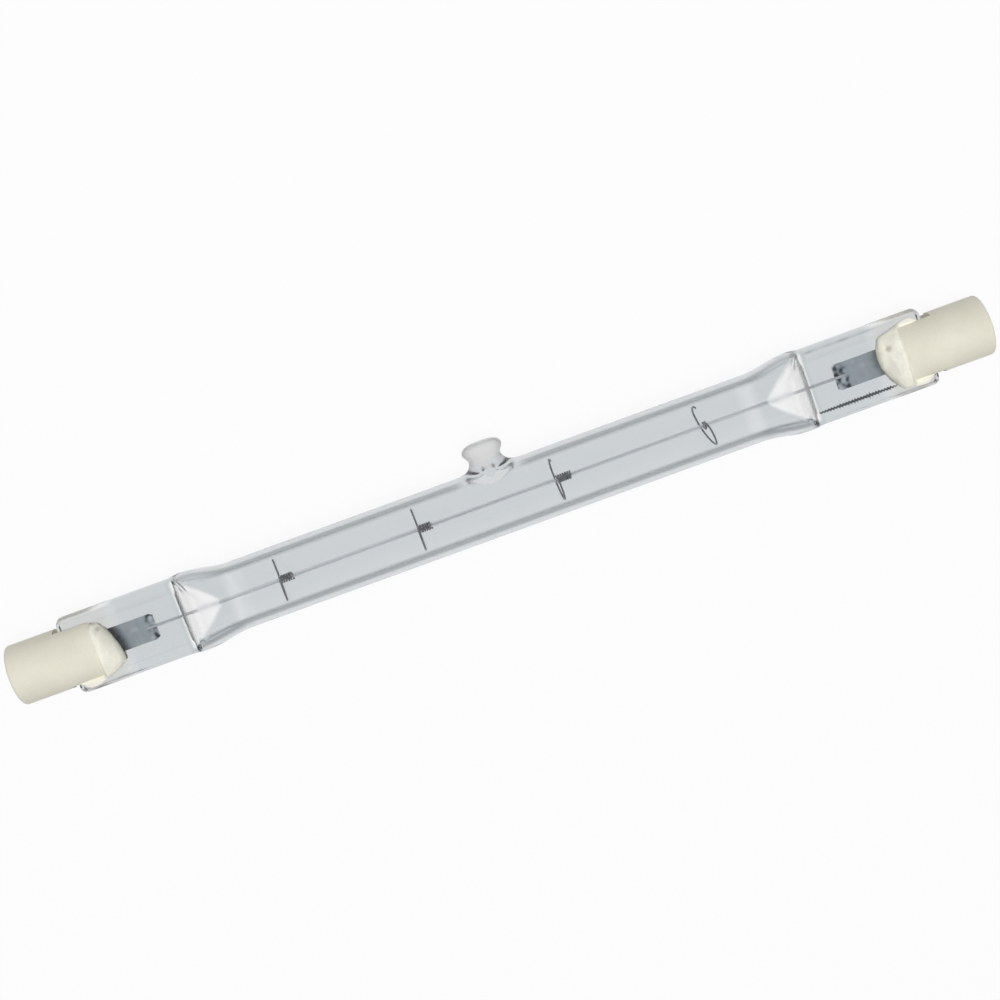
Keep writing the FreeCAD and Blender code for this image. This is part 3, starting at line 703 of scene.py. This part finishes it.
def wireTree():
    # a round wire along a path of edges
    tree = bpy.data.node_groups.new("wireAlongPath", "GeometryNodeTree")
    inputs = (("Geometry", "NodeSocketGeometry", None), ("Wire Radius", "NodeSocketFloat", 0.0001),
              ("Sides", "NodeSocketInt", 8), ("Material", "NodeSocketMaterial", None))
    for label, kind, value in inputs:
        socket = tree.interface.new_socket(label, in_out="INPUT", socket_type=kind)
        if value is not None:
            socket.default_value = value
    tree.interface.new_socket("Geometry", in_out="OUTPUT", socket_type="NodeSocketGeometry")
    given, out = tree.nodes.new("NodeGroupInput"), tree.nodes.new("NodeGroupOutput")
    path = tree.nodes.new("GeometryNodeMeshToCurve")
    section = tree.nodes.new("GeometryNodeCurvePrimitiveCircle")
    sweep = addNode(tree, "GeometryNodeCurveToMesh", {"Fill Caps": True})
    shade = tree.nodes.new("GeometryNodeSetShadeSmooth")
    real = tree.nodes.new("GeometryNodeRealizeInstances")
    paint = tree.nodes.new("GeometryNodeSetMaterial")
    link(tree, given.outputs["Geometry"], path.inputs["Mesh"])
    link(tree, given.outputs["Sides"], section.inputs["Resolution"])
    link(tree, given.outputs["Wire Radius"], section.inputs["Radius"])
    link(tree, path.outputs["Curve"], sweep.inputs["Curve"])
    link(tree, section.outputs["Curve"], sweep.inputs["Profile Curve"])
    link(tree, sweep.outputs["Mesh"], shade.inputs["Geometry"])
    link(tree, shade.outputs["Geometry"], real.inputs["Geometry"])
    link(tree, real.outputs["Geometry"], paint.inputs["Geometry"])
    link(tree, given.outputs["Material"], paint.inputs["Material"])
    link(tree, paint.outputs["Geometry"], out.inputs["Geometry"])
    return tree


wireNodes = wireTree()


def plainMesh(name, holder):
    # the evaluated object as a mesh of its own
    bpy.context.view_layer.update()
    mesh = bpy.data.meshes.new_from_object(holder.evaluated_get(bpy.context.evaluated_depsgraph_get()))
    mesh.name = name
    return mesh


def grown(name, mesh, tree, settings):
    # run a node tree on a mesh and keep the plain result
    holder = bpy.data.objects.new(name + "Path", mesh)
    bpy.context.collection.objects.link(holder)
    modifier = holder.modifiers.new("grow", "NODES")
    modifier.node_group = tree
    for socket in tree.interface.items_tree:
        if socket.in_out == "INPUT" and socket.name in settings:
            modifier[socket.identifier] = settings[socket.name]
    result = plainMesh(name, holder)
    bpy.data.objects.remove(holder)
    bpy.data.meshes.remove(mesh)
    return result


def wire(name, points, size, material, node):
    path = bpy.data.meshes.new(name + "Path")
    path.from_pydata(placed(points), [(i, i + 1) for i in range(len(points) - 1)], [])
    settings = {"Wire Radius": size["wire"] * mm, "Sides": size["sides"], "Material": material}
    return addPiece(name, grown(name, path, wireNodes, settings), node)


filament = {"turns": 320, "perTurn": 12, "wire": 0.05, "sides": 6}


def filamentPath():
    start, end = lamp["filamentEnds"]
    radius = lamp["filamentRadius"] - filament["wire"]
    count = filament["turns"] * filament["perTurn"]
    inset = filament["wire"]
    for i in range(count + 1):
        turn = 2.0 * math.pi * i / filament["perTurn"]
        x = start + inset + (end - start - 2.0 * inset) * i / count
        yield x, radius * math.cos(turn), radius * math.sin(turn)


wire("filamentCoil", list(filamentPath()), filament, tungsten, "filament")

supports = {
    "places": (-26.7, -9.9, 6.9, 24.8), "wire": 0.108, "sides": 10, "ring": 2.45, "coil": 0.405, "bend": 0.8,
    "free": 21.5, "pigtail": (1.75, 1.75, 1.9, 0.6), "pitch": 0.28, "perTurn": 20,
    "lean": (0.12, 0.04, 0.045, 0.09), "tilt": (0.01, -0.01, -0.03, -0.21),
    "legSteps": 8, "ringSteps": 72,
}


def supportPath(number):
    # pigtail on the filament, leg, bend, open ring; lean and tilt turn the ring out of the cross-section
    place, lean, tilt = (supports[key][number] for key in ("places", "lean", "tilt"))
    coil, ring, bend = supports["coil"], supports["ring"], supports["bend"]
    legSteps, ringSteps = supports["legSteps"], supports["ringSteps"]
    reach, across = ring - bend, coil - bend
    leg = math.sqrt(reach * reach - across * across)
    path = []
    turns = (supports["pigtail"][number] - 2.0 * supports["wire"]) / supports["pitch"]
    steps = int(turns * supports["perTurn"])
    for i in range(steps, 0, -1):
        turn = -2.0 * math.pi * turns * i / steps
        path.append((supports["pitch"] * turns * i / steps, coil * math.cos(turn), coil * math.sin(turn)))
    path += [(0.0, coil, leg * i / legSteps) for i in range(legSteps + 1)]
    start = math.atan2(leg, across)
    for i in range(1, legSteps + 1):
        turn = start * i / legSteps
        path.append((0.0, across + bend * math.cos(turn), leg + bend * math.sin(turn)))
    stop = 2.0 * math.pi + math.radians(supports["free"])
    for i in range(1, ringSteps + 1):
        turn = start + (stop - start) * i / ringSteps
        path.append((0.0, ring * math.cos(turn), ring * math.sin(turn)))
    return [(place + x + (lean * z + tilt * y if x == 0.0 else tilt * coil), y, z) for x, y, z in path]


for number in range(len(supports["places"])):
    wire("filamentSupport%d" % (number + 1), supportPath(number), supports, darkWire,
         "filament_support_%d" % (number + 1))
print("wires ready")

# Ceramic caps

cap = {
    "around": 96, "rim": 0.35, "nose": 0.7, "recess": 1.75, "mouth": 0.25, "contact": 57.1, "seat": 1.25,
    "floor": 56.3, "hole": 0.85, "sharp": 38.0,
}


def rounded(centreX, centreR, radius, start, stop, steps):
    turns = [math.radians(start + (stop - start) * i / steps) for i in range(steps + 1)]
    return [(centreX + radius * math.cos(turn), centreR + radius * math.sin(turn)) for turn in turns]


def capProfile():
    outer, inner, end = lamp["capRadius"], lamp["barrelInner"], lamp["capEnd"]
    line = [(inner, cap["hole"])]
    line += rounded(inner + cap["nose"], outer - cap["nose"], cap["nose"], 180.0, 90.0, 7)
    line += rounded(end - cap["rim"], outer - cap["rim"], cap["rim"], 90.0, 0.0, 6)
    line += rounded(end - cap["mouth"], cap["recess"] + cap["mouth"], cap["mouth"], 0.0, -90.0, 5)
    line += [(cap["contact"], cap["recess"]), (cap["contact"], cap["seat"]), (cap["floor"], cap["seat"]),
             (cap["floor"], cap["hole"])]
    return line


def slotBlock(side):
    low, high = sorted((side * (lamp["barrelInner"] - 2.0), side * lamp["slotFloor"]))
    half = lamp["slotHalf"]
    corners = [(x, y, z) for x in (low, high) for y in (-5.0, 5.0) for z in (-half, half)]
    sides = [(0, 1, 3, 2), (4, 6, 7, 5), (0, 4, 5, 1), (2, 3, 7, 6), (0, 2, 6, 4), (1, 5, 7, 3)]
    return meshFrom("capSlot", corners, sides, steatite)


def capMesh(side):
    # the turned barrel with the slot for the seal cut out
    line, around = capProfile(), cap["around"]
    turns = [2.0 * math.pi * k / around for k in range(around)]
    points, faces = [], []
    for row, (x, r) in enumerate(line):
        points += [(side * x, r * math.cos(turn), r * math.sin(turn)) for turn in turns]
        faces += ringBand(row * around, (row + 1) % len(line) * around, around)
    barrel = bpy.data.objects.new("barrelWork", meshFrom("ceramicCap", points, faces, steatite))
    slot = bpy.data.objects.new("slotWork", slotBlock(side))
    for thing in (barrel, slot):
        bpy.context.collection.objects.link(thing)
    modifier = barrel.modifiers.new("slot", "BOOLEAN")
    modifier.operation = "DIFFERENCE"
    modifier.solver = "EXACT"
    modifier.object = slot
    mesh = plainMesh("ceramicCap", barrel)
    for thing in (barrel, slot):
        bpy.data.objects.remove(thing)
    work = bmesh.new()
    work.from_mesh(mesh)
    sharpen(work, cap["sharp"])
    work.to_mesh(mesh)
    work.free()
    return mesh


for side, word in bothEnds:
    addPiece("ceramicCap_" + word, capMesh(side), "ceramic_cap_" + word)
print("caps ready")

# Cement

cement = {
    # bowed inner edge on the glass: its foremost point, where that lies across, and how it bows
    "tip": {-1: 46.08, 1: 45.72}, "tipSide": {-1: -1.9, 1: 0.5}, "bow": {-1: 0.095, 1: 0.14}, "power": 1.8,
    # reach to either side where it begins and where it is widest
    "upper": {-1: (2.5, 3.05), 1: (2.5, 3.9)}, "lower": {-1: (2.4, 4.1), 1: (3.4, 4.0)}, "widest": 50.0,
    "spread": 0.75, "noseSoft": 0.12, "endNarrow": 0.85, "endLength": 1.4,
    # lump on the lower face: set back, and narrower towards +y
    "below": {-1: 0.1, 1: 0.35}, "narrower": 0.9,
    "height": 3.42, "lip": 1.6, "bead": 1.95, "blunt": 0.5, "lift": 0.03, "edgeRipple": 0.12,
    "lumps": (0.09, 0.04),
    # one pit on the upper lump of each end, dented and darkened with painted shade: place along, across,
    # width
    "pits": {-1: (47.6, 2.25, 0.3), 1: (46.9, 1.45, 0.26)}, "pitDeep": 0.45, "pitShadeStrength": 0.6,
    "plugHalf": 2.9, "plugTall": 1.42, "plugGap": 0.02, "across": 56, "rows": 90, "sharp": 60.0,
}


def noseAt(side, y):
    # the bowed inner edge of the cement on the glass
    return cement["tip"][side] + cement["bow"][side] * abs(y - cement["tipSide"][side]) ** cement["power"]


def cementReach(side, face, along):
    # how far a lump reaches to -y and +y: the bowed nose first, then the bead that narrows at the end of
    # the glass
    tip, outer = cement["tip"][side], lamp["sealEnd"][side]
    opened = (max(along - tip, 0.0) / cement["bow"][side]) ** (1.0 / cement["power"])
    spread = min(max(along - tip, 0.0) / (cement["widest"] - tip), 1.0) ** cement["spread"]
    reach = []
    for edge, sign in (("lower", -1.0), ("upper", 1.0)):
        least, most = cement[edge][side]
        nose = opened + sign * cement["tipSide"][side]
        wide = softMin(nose, least + (most - least) * spread, cement["noseSoft"])
        wide -= cement["narrower"] if face < 0 < sign else 0.0
        reach.append(wide - cement["endNarrow"] * smooth(outer - cement["endLength"], outer, along))
    return reach


def glassTop(y):
    return glass["ribHalf"] - (glass["ribHalf"] - glass["webHalf"]) * (1.0 - ribAt(y))


def pitAt(side, face, x, y):
    # a small pit in the lump on the upper face
    pitX, pitY, wide = cement["pits"][side]
    return math.exp(-((x - pitX) / wide) ** 2 - ((y - pitY) / wide) ** 2) if face > 0 else 0.0


def cementRow(side, face, along, shift):
    # one cross-section of a lump: over the top from edge to edge, then back along the glass
    tip, barrel = cement["tip"][side], lamp["barrelInner"]
    height = cement["lip"] + (cement["height"] - cement["lip"]) * smooth(tip - 0.6, barrel + 0.1, along)
    height += (cement["bead"] - height) * smooth(barrel + 0.1, barrel + 0.9, along)
    close = min((along - tip) / cement["blunt"], 1.0)
    blunt = math.sqrt(max(1.0 - (1.0 - close) ** 2, 0.0))
    lower, upper = cementReach(side, face, along)
    half, middle = max((lower + upper) / 2, 0.02), (upper - lower) / 2
    inSlot = smooth(barrel + 0.3, barrel + 1.0, along)
    free = 1.0 - smooth(tip, barrel, along)
    coarse, small = cement["lumps"]
    across = cement["across"]
    for k in range(2 * across):
        turn = math.pi * k / across
        c, s = math.cos(turn), math.sin(turn)
        y = middle + half * math.copysign(abs(c) ** 0.9, c)
        floorZ = glassTop(y) + cement["lift"]
        x = along + shift + cement["edgeRipple"] * ripple(y, along, face, 0.9, 1.0 + side) * free
        lump = 1.0 + coarse * ripple(x, y, face, 1.1, 5.0 + side)
        lump += small * ripple(x, y, face, 0.45, 9.0 + side)
        rise = (height - floorZ) * blunt * max(s, 0.0) ** 0.8 * lump
        z = floorZ + rise * (1.0 - cement["pitDeep"] * pitAt(side, face, x, y))
        hidden = inSlot * (1.0 - smooth(3.0, 3.35, abs(y)))
        yield side * x, y, face * (z + (min(z, cement["plugTall"]) - z) * hidden)


def cementMesh(side):
    # a lump on each face of the seal, and the plug that fills the slot beyond the glass
    points, faces = [], []
    ring, rows = 2 * cement["across"], cement["rows"]
    tip, outer = cement["tip"][side], lamp["sealEnd"][side]
    for face in (1, -1):
        base = len(points)
        for row in range(rows + 1):
            share = (row / rows) ** 1.3
            shift = cement["below"][side] * (1.0 - smooth(0.0, 0.3, share)) if face < 0 else 0.0
            points += cementRow(side, face, tip + (outer - tip) * share, shift)
        for row in range(rows):
            faces += ringBand(base + row * ring, base + (row + 1) * ring, ring)
        faces += [tuple(base + row * ring + k for k in range(ring)) for row in (0, rows)]
    base = len(points)
    wide, tall = cement["plugHalf"], cement["plugTall"]
    for x in (outer + cement["plugGap"], lamp["slotFloor"] - cement["plugGap"]):
        points += [(side * x, y * wide, z * tall) for y, z in ((-1, -1), (1, -1), (1, 1), (-1, 1))]
    faces += [tuple(base + i for i in one) for one in
              ((0, 1, 2, 3), (4, 5, 6, 7), (0, 1, 5, 4), (1, 2, 6, 5), (2, 3, 7, 6), (3, 0, 4, 7))]
    mesh = meshFrom("capCement", points, faces, cementPaste, cement["sharp"])
    # painted shade: the pits' colour darkens where shade would fall in them
    mesh.attributes.new("pitShade", "FLOAT", "POINT")
    pitShade = mesh.attributes["pitShade"]
    for vert in mesh.vertices:
        x, y, z = lampPoint(vert.co)
        pitShade.data[vert.index].value = cement["pitShadeStrength"] * pitAt(side, sideOf(z), abs(x), y)
    return mesh


for side, word in bothEnds:
    addPiece("capCement_" + word, cementMesh(side), "cap_cement_" + word)
print("cement ready")

# Seal foils

foil = {
    "inner": {-1: 41.75, 1: 40.65}, "outer": {-1: 51.0, 1: 50.6}, "half": 1.55, "level": -0.16,
    "thick": 0.02, "rows": 60, "columns": 24, "sharp": 40.0, "dents": (0.05, 0.03),
    # painted shadow by the cement, tone at the crumpled inner end, and one paler spot
    "shadow": {-1: 0.40, 1: 0.11}, "fade": {-1: 1.4, 1: 0.8}, "crumpled": {-1: (0.5, 1.4), 1: (1.2, 1.8)},
    "dulled": {-1: 0.08, 1: 0.2}, "grey": 0.70, "crumple": (0.06, 0.85),
    "spot": (44.2, 0.35), "spotPaler": 0.2,
}


def foilTone(side, along, y):
    # painted shadow by the cement, grey in the middle, crumpled dark and pale at the inner end
    crumple = ripple(along, y, 0.0, 0.55, 4.0 + side)
    atEnd = 1.0 - smooth(*foil["crumpled"][side], along - foil["inner"][side])
    plain, strong = foil["crumple"]
    tone = foil["grey"] + plain * crumple + atEnd * (strong * crumple - foil["dulled"][side])
    spotX, spotY = foil["spot"]
    tone += foil["spotPaler"] * math.exp(-((along - spotX) / 0.35) ** 2 - ((y - spotY) / 0.3) ** 2)
    edge = noseAt(side, y)
    return tone - foil["shadow"][side] * smooth(edge - foil["fade"][side], edge, along)


def foilMesh(side):
    # thin strip with rounded inner corners, slightly crumpled
    inner, outer, half = foil["inner"][side], foil["outer"][side], foil["half"]
    rows, columns, points, faces, tones = foil["rows"], foil["columns"], [], [], []
    broad, fine = foil["dents"]
    for layer in (1, -1):
        for i in range(rows + 1):
            along = inner + (outer - inner) * i / rows
            narrow = half * (0.86 + 0.14 * smooth(0.0, 0.5, along - inner))
            for j in range(columns + 1):
                y = narrow * (2.0 * j / columns - 1.0)
                x = side * along
                dent = broad * ripple(x, y, 0.0, 0.6, 7.0) + fine * ripple(x, y, 0.0, 0.25, 2.0)
                thick = foil["thick"] * (1.0 - 0.9 * smooth(0.6, 1.0, abs(y) / narrow))
                points.append((x, y, foil["level"] + dent + layer * thick))
                tones.append(foilTone(side, along, y))
    width = columns + 1
    below = (rows + 1) * width
    for i in range(rows):
        for j in range(columns):
            a = i * width + j
            faces.append((a, a + 1, a + width + 1, a + width))
            faces.append((below + a, below + a + width, below + a + width + 1, below + a + 1))
    rim = list(range(width)) + [i * width + columns for i in range(1, rows + 1)]
    rim += [rows * width + j for j in range(columns - 1, -1, -1)]
    rim += [i * width for i in range(rows - 1, 0, -1)]
    for k, a in enumerate(rim):
        b = rim[(k + 1) % len(rim)]
        faces.append((a, below + a, below + b, b))
    mesh = meshFrom("sealFoil", points, faces, sealFoil, foil["sharp"])
    mesh.attributes.new("tone", "FLOAT", "POINT").data.foreach_set("value", tones)
    return mesh


for side, word in bothEnds:
    addPiece("sealFoil_" + word, foilMesh(side), "seal_foil_" + word)
print("foils ready")

# Construction pieces that show as they are

for name, material in (("contact_button", nickel), ("outer_lead", molybdenum), ("inner_lead", leadWire)):
    for word in ("left", "right"):
        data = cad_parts[name + "_" + word].data
        data.materials.clear()
        data.materials.append(material)

# Stage, light and camera

studio = {
    "floorHalf": 1.5, "floorGap": 0.00002, "floorGrey": 0.8, "floorRough": 0.9, "floorGlow": 0.92,
    "sky": (0.97, 0.985, 1.0), "skyLight": 0.16, "skySeen": 0.97,
    # place, width and power of each light
    "lights": {"key": ((-0.04, 0.18, 0.51), 0.40, 1.68), "fill": ((0.10, -0.07, 0.52), 0.40, 1.12)},
    "lean": 8.0, "turn": 19.98, "distance": 0.2, "lens": 63.0, "sensor": 36.0, "clip": 0.01,
}


def seenRays(tree):
    # 1 for what the camera sees directly, in metal or through glass, 0 for light that spreads
    rays = tree.nodes.new("ShaderNodeLightPath")
    either = addNode(tree, "ShaderNodeMath", operation="ADD")
    seen = addNode(tree, "ShaderNodeMath", operation="ADD", use_clamp=True)
    link(tree, rays.outputs["Is Camera Ray"], either.inputs[0])
    link(tree, rays.outputs["Is Glossy Ray"], either.inputs[1])
    link(tree, either.outputs["Value"], seen.inputs[0])
    link(tree, rays.outputs["Is Transmission Ray"], seen.inputs[1])
    return seen.outputs["Value"]


def floorMaterial():
    # white where it is seen, with a part of the lit floor kept for the shadow
    material, tree, shader = newMaterial("paleFloor")
    shader.inputs["Base Color"].default_value = (*[studio["floorGrey"]] * 3, 1.0)
    shader.inputs["Roughness"].default_value = studio["floorRough"]
    glow = tree.nodes.new("ShaderNodeEmission")
    kept = addNode(tree, "ShaderNodeMath", operation="MULTIPLY")
    kept.inputs[1].default_value = studio["floorGlow"]
    blend = tree.nodes.new("ShaderNodeMixShader")
    link(tree, seenRays(tree), kept.inputs[0])
    link(tree, kept.outputs["Value"], blend.inputs["Fac"])
    link(tree, shader.outputs["BSDF"], blend.inputs[1])
    link(tree, glow.outputs["Emission"], blend.inputs[2])
    link(tree, blend.outputs["Shader"], tree.nodes["Material Output"].inputs["Surface"])
    return material


floorHalf, floorLevel = studio["floorHalf"], cadLow.z - studio["floorGap"]
floorCorners = [(x * floorHalf, y * floorHalf, floorLevel) for x, y in ((-1, -1), (1, -1), (1, 1), (-1, 1))]
floorMesh = bpy.data.meshes.new("floor")
floorMesh.from_pydata(floorCorners, [], [(0, 1, 2, 3)])
floorMesh.materials.append(floorMaterial())
floor = bpy.data.objects.new("floor", floorMesh)
bpy.context.collection.objects.link(floor)

world = bpy.data.worlds.new("studio")
bpy.context.scene.world = world
world.use_nodes = True
sky = world.node_tree.nodes["Background"]
sky.inputs["Color"].default_value = (*studio["sky"], 1.0)
skyLevel = ranged(world.node_tree, seenRays(world.node_tree),
                  {"To Min": studio["skyLight"], "To Max": studio["skySeen"]})
link(world.node_tree, skyLevel, sky.inputs["Strength"])

for name, (place, width, power) in studio["lights"].items():
    lightData = bpy.data.lights.new(name, "AREA")
    lightData.size = width
    lightData.energy = power
    light = bpy.data.objects.new(name, lightData)
    light.location = place
    light.visible_glossy = False
    light.visible_transmission = False
    light.rotation_euler = (-Vector(place)).to_track_quat("-Z", "Y").to_euler()
    bpy.context.collection.objects.link(light)

# the camera looks across the lamp's axis, which runs up to the right in the picture
tilt = restRoll + math.radians(studio["lean"])
turn = math.radians(studio["turn"])
backward = Vector((0.0, math.sin(tilt), math.cos(tilt)))
upward = Vector((0.0, math.cos(tilt), -math.sin(tilt)))
axis = Vector((1.0, 0.0, 0.0))
right = axis * math.cos(turn) - upward * math.sin(turn)
up = axis * math.sin(turn) + upward * math.cos(turn)
cameraData = bpy.data.cameras.new("camera")
cameraData.lens = studio["lens"]
cameraData.sensor_width = studio["sensor"]
cameraData.clip_start = studio["clip"]
camera = bpy.data.objects.new("camera", cameraData)
camera.matrix_world = Matrix((right, up, backward)).transposed().to_4x4()
camera.location = backward * studio["distance"]
bpy.context.collection.objects.link(camera)
bpy.context.scene.camera = camera
bpy.context.scene.view_settings.view_transform = "Standard"

print("scene ready")
